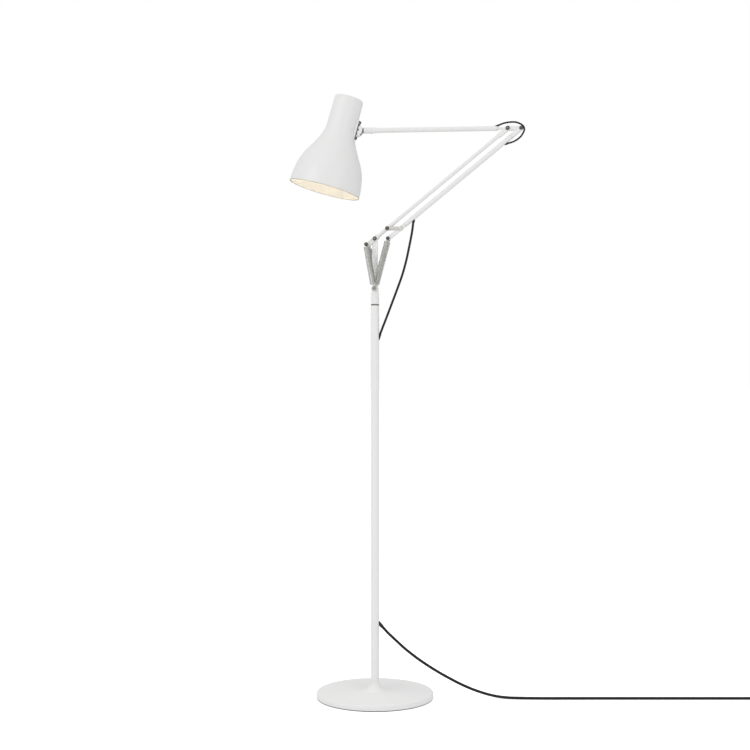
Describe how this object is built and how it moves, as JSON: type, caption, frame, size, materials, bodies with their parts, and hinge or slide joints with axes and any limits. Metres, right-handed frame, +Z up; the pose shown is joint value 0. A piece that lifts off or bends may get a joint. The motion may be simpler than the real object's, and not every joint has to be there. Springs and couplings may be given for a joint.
{
  "type": "adjustable arm floor lamp",
  "caption": "White floor lamp with a round base, a post, a spring balanced parallelogram arm and a bell shade that tilts, with a black cord and plug",
  "frame": {"origin": "on the floor, under the middle of the round base and the post", "axes": "+Z up along the post; the arm lies in the XZ plane, elbow towards +X and shade towards -X; the front seen in the picture faces -Y"},
  "size_m": [1.2503, 0.3084, 1.449],
  "materials": {
    "white_paint": "satin white paint on steel",
    "arm_paint": "satin white paint on steel tube",
    "shade_paint": "satin white paint on spun aluminium",
    "black_plastic": "smooth black plastic",
    "black_rubber": "matt black rubber",
    "dark_steel": "dull dark steel",
    "plated_steel": "plated steel",
    "spring_steel": "bright spring wire",
    "cast_iron": "rough casting",
    "grey_nylon": "dark grey nylon",
    "brass_cap": "plain",
    "opal_glass": "opal glass"
  },
  "bodies": {
    "stand": {"foot_pad": "black_rubber", "base_weight": "cast_iron", "base_cover": "white_paint", "base_bolt": "dark_steel", "post_foot_plug": "dark_steel", "post_tube": "white_paint", "outlet_grommet": "black_rubber", "inlet_grommet": "black_rubber", "swivel_bush": "grey_nylon", "mains_cord": "black_plastic", "cord_coil": "black_plastic", "cord_tie": "black_rubber", "plug": "black_plastic"},
    "head": {"head_spigot": "white_paint", "strut": "white_paint", "anchor_bolt": "plated_steel", "anchor_nut": "plated_steel", "spindle_clip": "dark_steel", "left_spring_near": "spring_steel", "left_spring_far": "spring_steel", "right_spring_near": "spring_steel", "right_spring_far": "spring_steel", "drop_cable": "black_plastic"},
    "lower_arm": {"lower_rod": "arm_paint", "lower_fork": "white_paint", "elbow_fork": "white_paint", "pivot_bolt": "dark_steel", "pivot_nut": "dark_steel", "spring_stud_near": "dark_steel", "spring_stud_far": "dark_steel", "link_pin_lower": "dark_steel"},
    "link": {"link_near": "plated_steel", "link_far": "plated_steel", "link_pin_upper": "dark_steel"},
    "upper_arm": {"upper_tube": "arm_paint", "arm_tongue": "white_paint", "elbow_bolt": "dark_steel", "elbow_nut": "dark_steel", "tie_rivet": "dark_steel", "arm_grommet": "black_rubber", "end_bush": "grey_nylon", "grub_screw": "dark_steel", "elbow_cable": "black_plastic"},
    "tie_rod": {"tie_tube": "arm_paint", "tie_foot": "white_paint", "tie_fork": "white_paint", "tie_spring_pin": "dark_steel", "tie_grommet_low": "black_rubber", "tie_grommet_high": "black_rubber"},
    "nose": {"nose_stalk": "dark_steel"},
    "shade": {"shade_shell": "shade_paint", "knuckle_pad": "white_paint", "knuckle_housing": "white_paint", "pad_screw_top": "dark_steel", "pad_screw_low": "dark_steel", "tilt_pin": "dark_steel", "lampholder": "black_plastic", "bulb_cap": "brass_cap", "bulb_glass": "opal_glass"},
    "switch": {"switch_button": "black_plastic"}
  },
  "joints": [
    {"name": "head_turn", "type": "hinge", "parent": "stand", "child": "head", "pos_m": [0, 0, 0.95], "axis": [0, 0, 1], "range_deg": [-150, 150]},
    {"name": "lower_arm_swing", "type": "hinge", "parent": "head", "child": "lower_arm", "pos_m": [0, 0, 1.101], "axis": [0, -1, 0], "range_deg": [-10, 50], "deforming": ["left_spring_near", "left_spring_far", "right_spring_near", "right_spring_far", "drop_cable"]},
    {"name": "elbow_bend", "type": "hinge", "parent": "lower_arm", "child": "upper_arm", "pos_m": [0.31718, 0, 1.35969], "axis": [0, 1, 0], "range_deg": [-12, 50], "deforming": ["right_spring_near", "right_spring_far", "drop_cable", "elbow_cable"]},
    {"name": "link_swing", "type": "hinge", "parent": "lower_arm", "child": "link", "pos_m": [0.02991, 0, 1.1254], "axis": [0, 1, 0], "range_deg": [-12, 50]},
    {"name": "tie_swing", "type": "hinge", "parent": "upper_arm", "child": "tie_rod", "pos_m": [0.34918, 0, 1.35952], "axis": [0, 1, 0], "range_deg": [-50, 12]},
    {"name": "shade_roll", "type": "hinge", "parent": "upper_arm", "child": "nose", "pos_m": [-0.03961, 0, 1.36156], "axis": [1, 0, -0.0052], "range_deg": [-90, 90]},
    {"name": "shade_tilt", "type": "hinge", "parent": "nose", "child": "shade", "pos_m": [-0.03961, 0, 1.36156], "axis": [0.0002, -0.9992, 0.0401], "range_deg": [-5, 50]},
    {"name": "switch_press", "type": "slide", "parent": "shade", "child": "switch", "axis": [-0.2605, -0.0388, -0.9647], "range_m": [0, 0.0025], "stiffness_N_per_m": 300}
  ],
  "couplings": [
    {"joint": "link_swing", "follows": "elbow_bend", "ratio": 1},
    {"joint": "tie_swing", "follows": "elbow_bend", "ratio": -1}
  ]
}
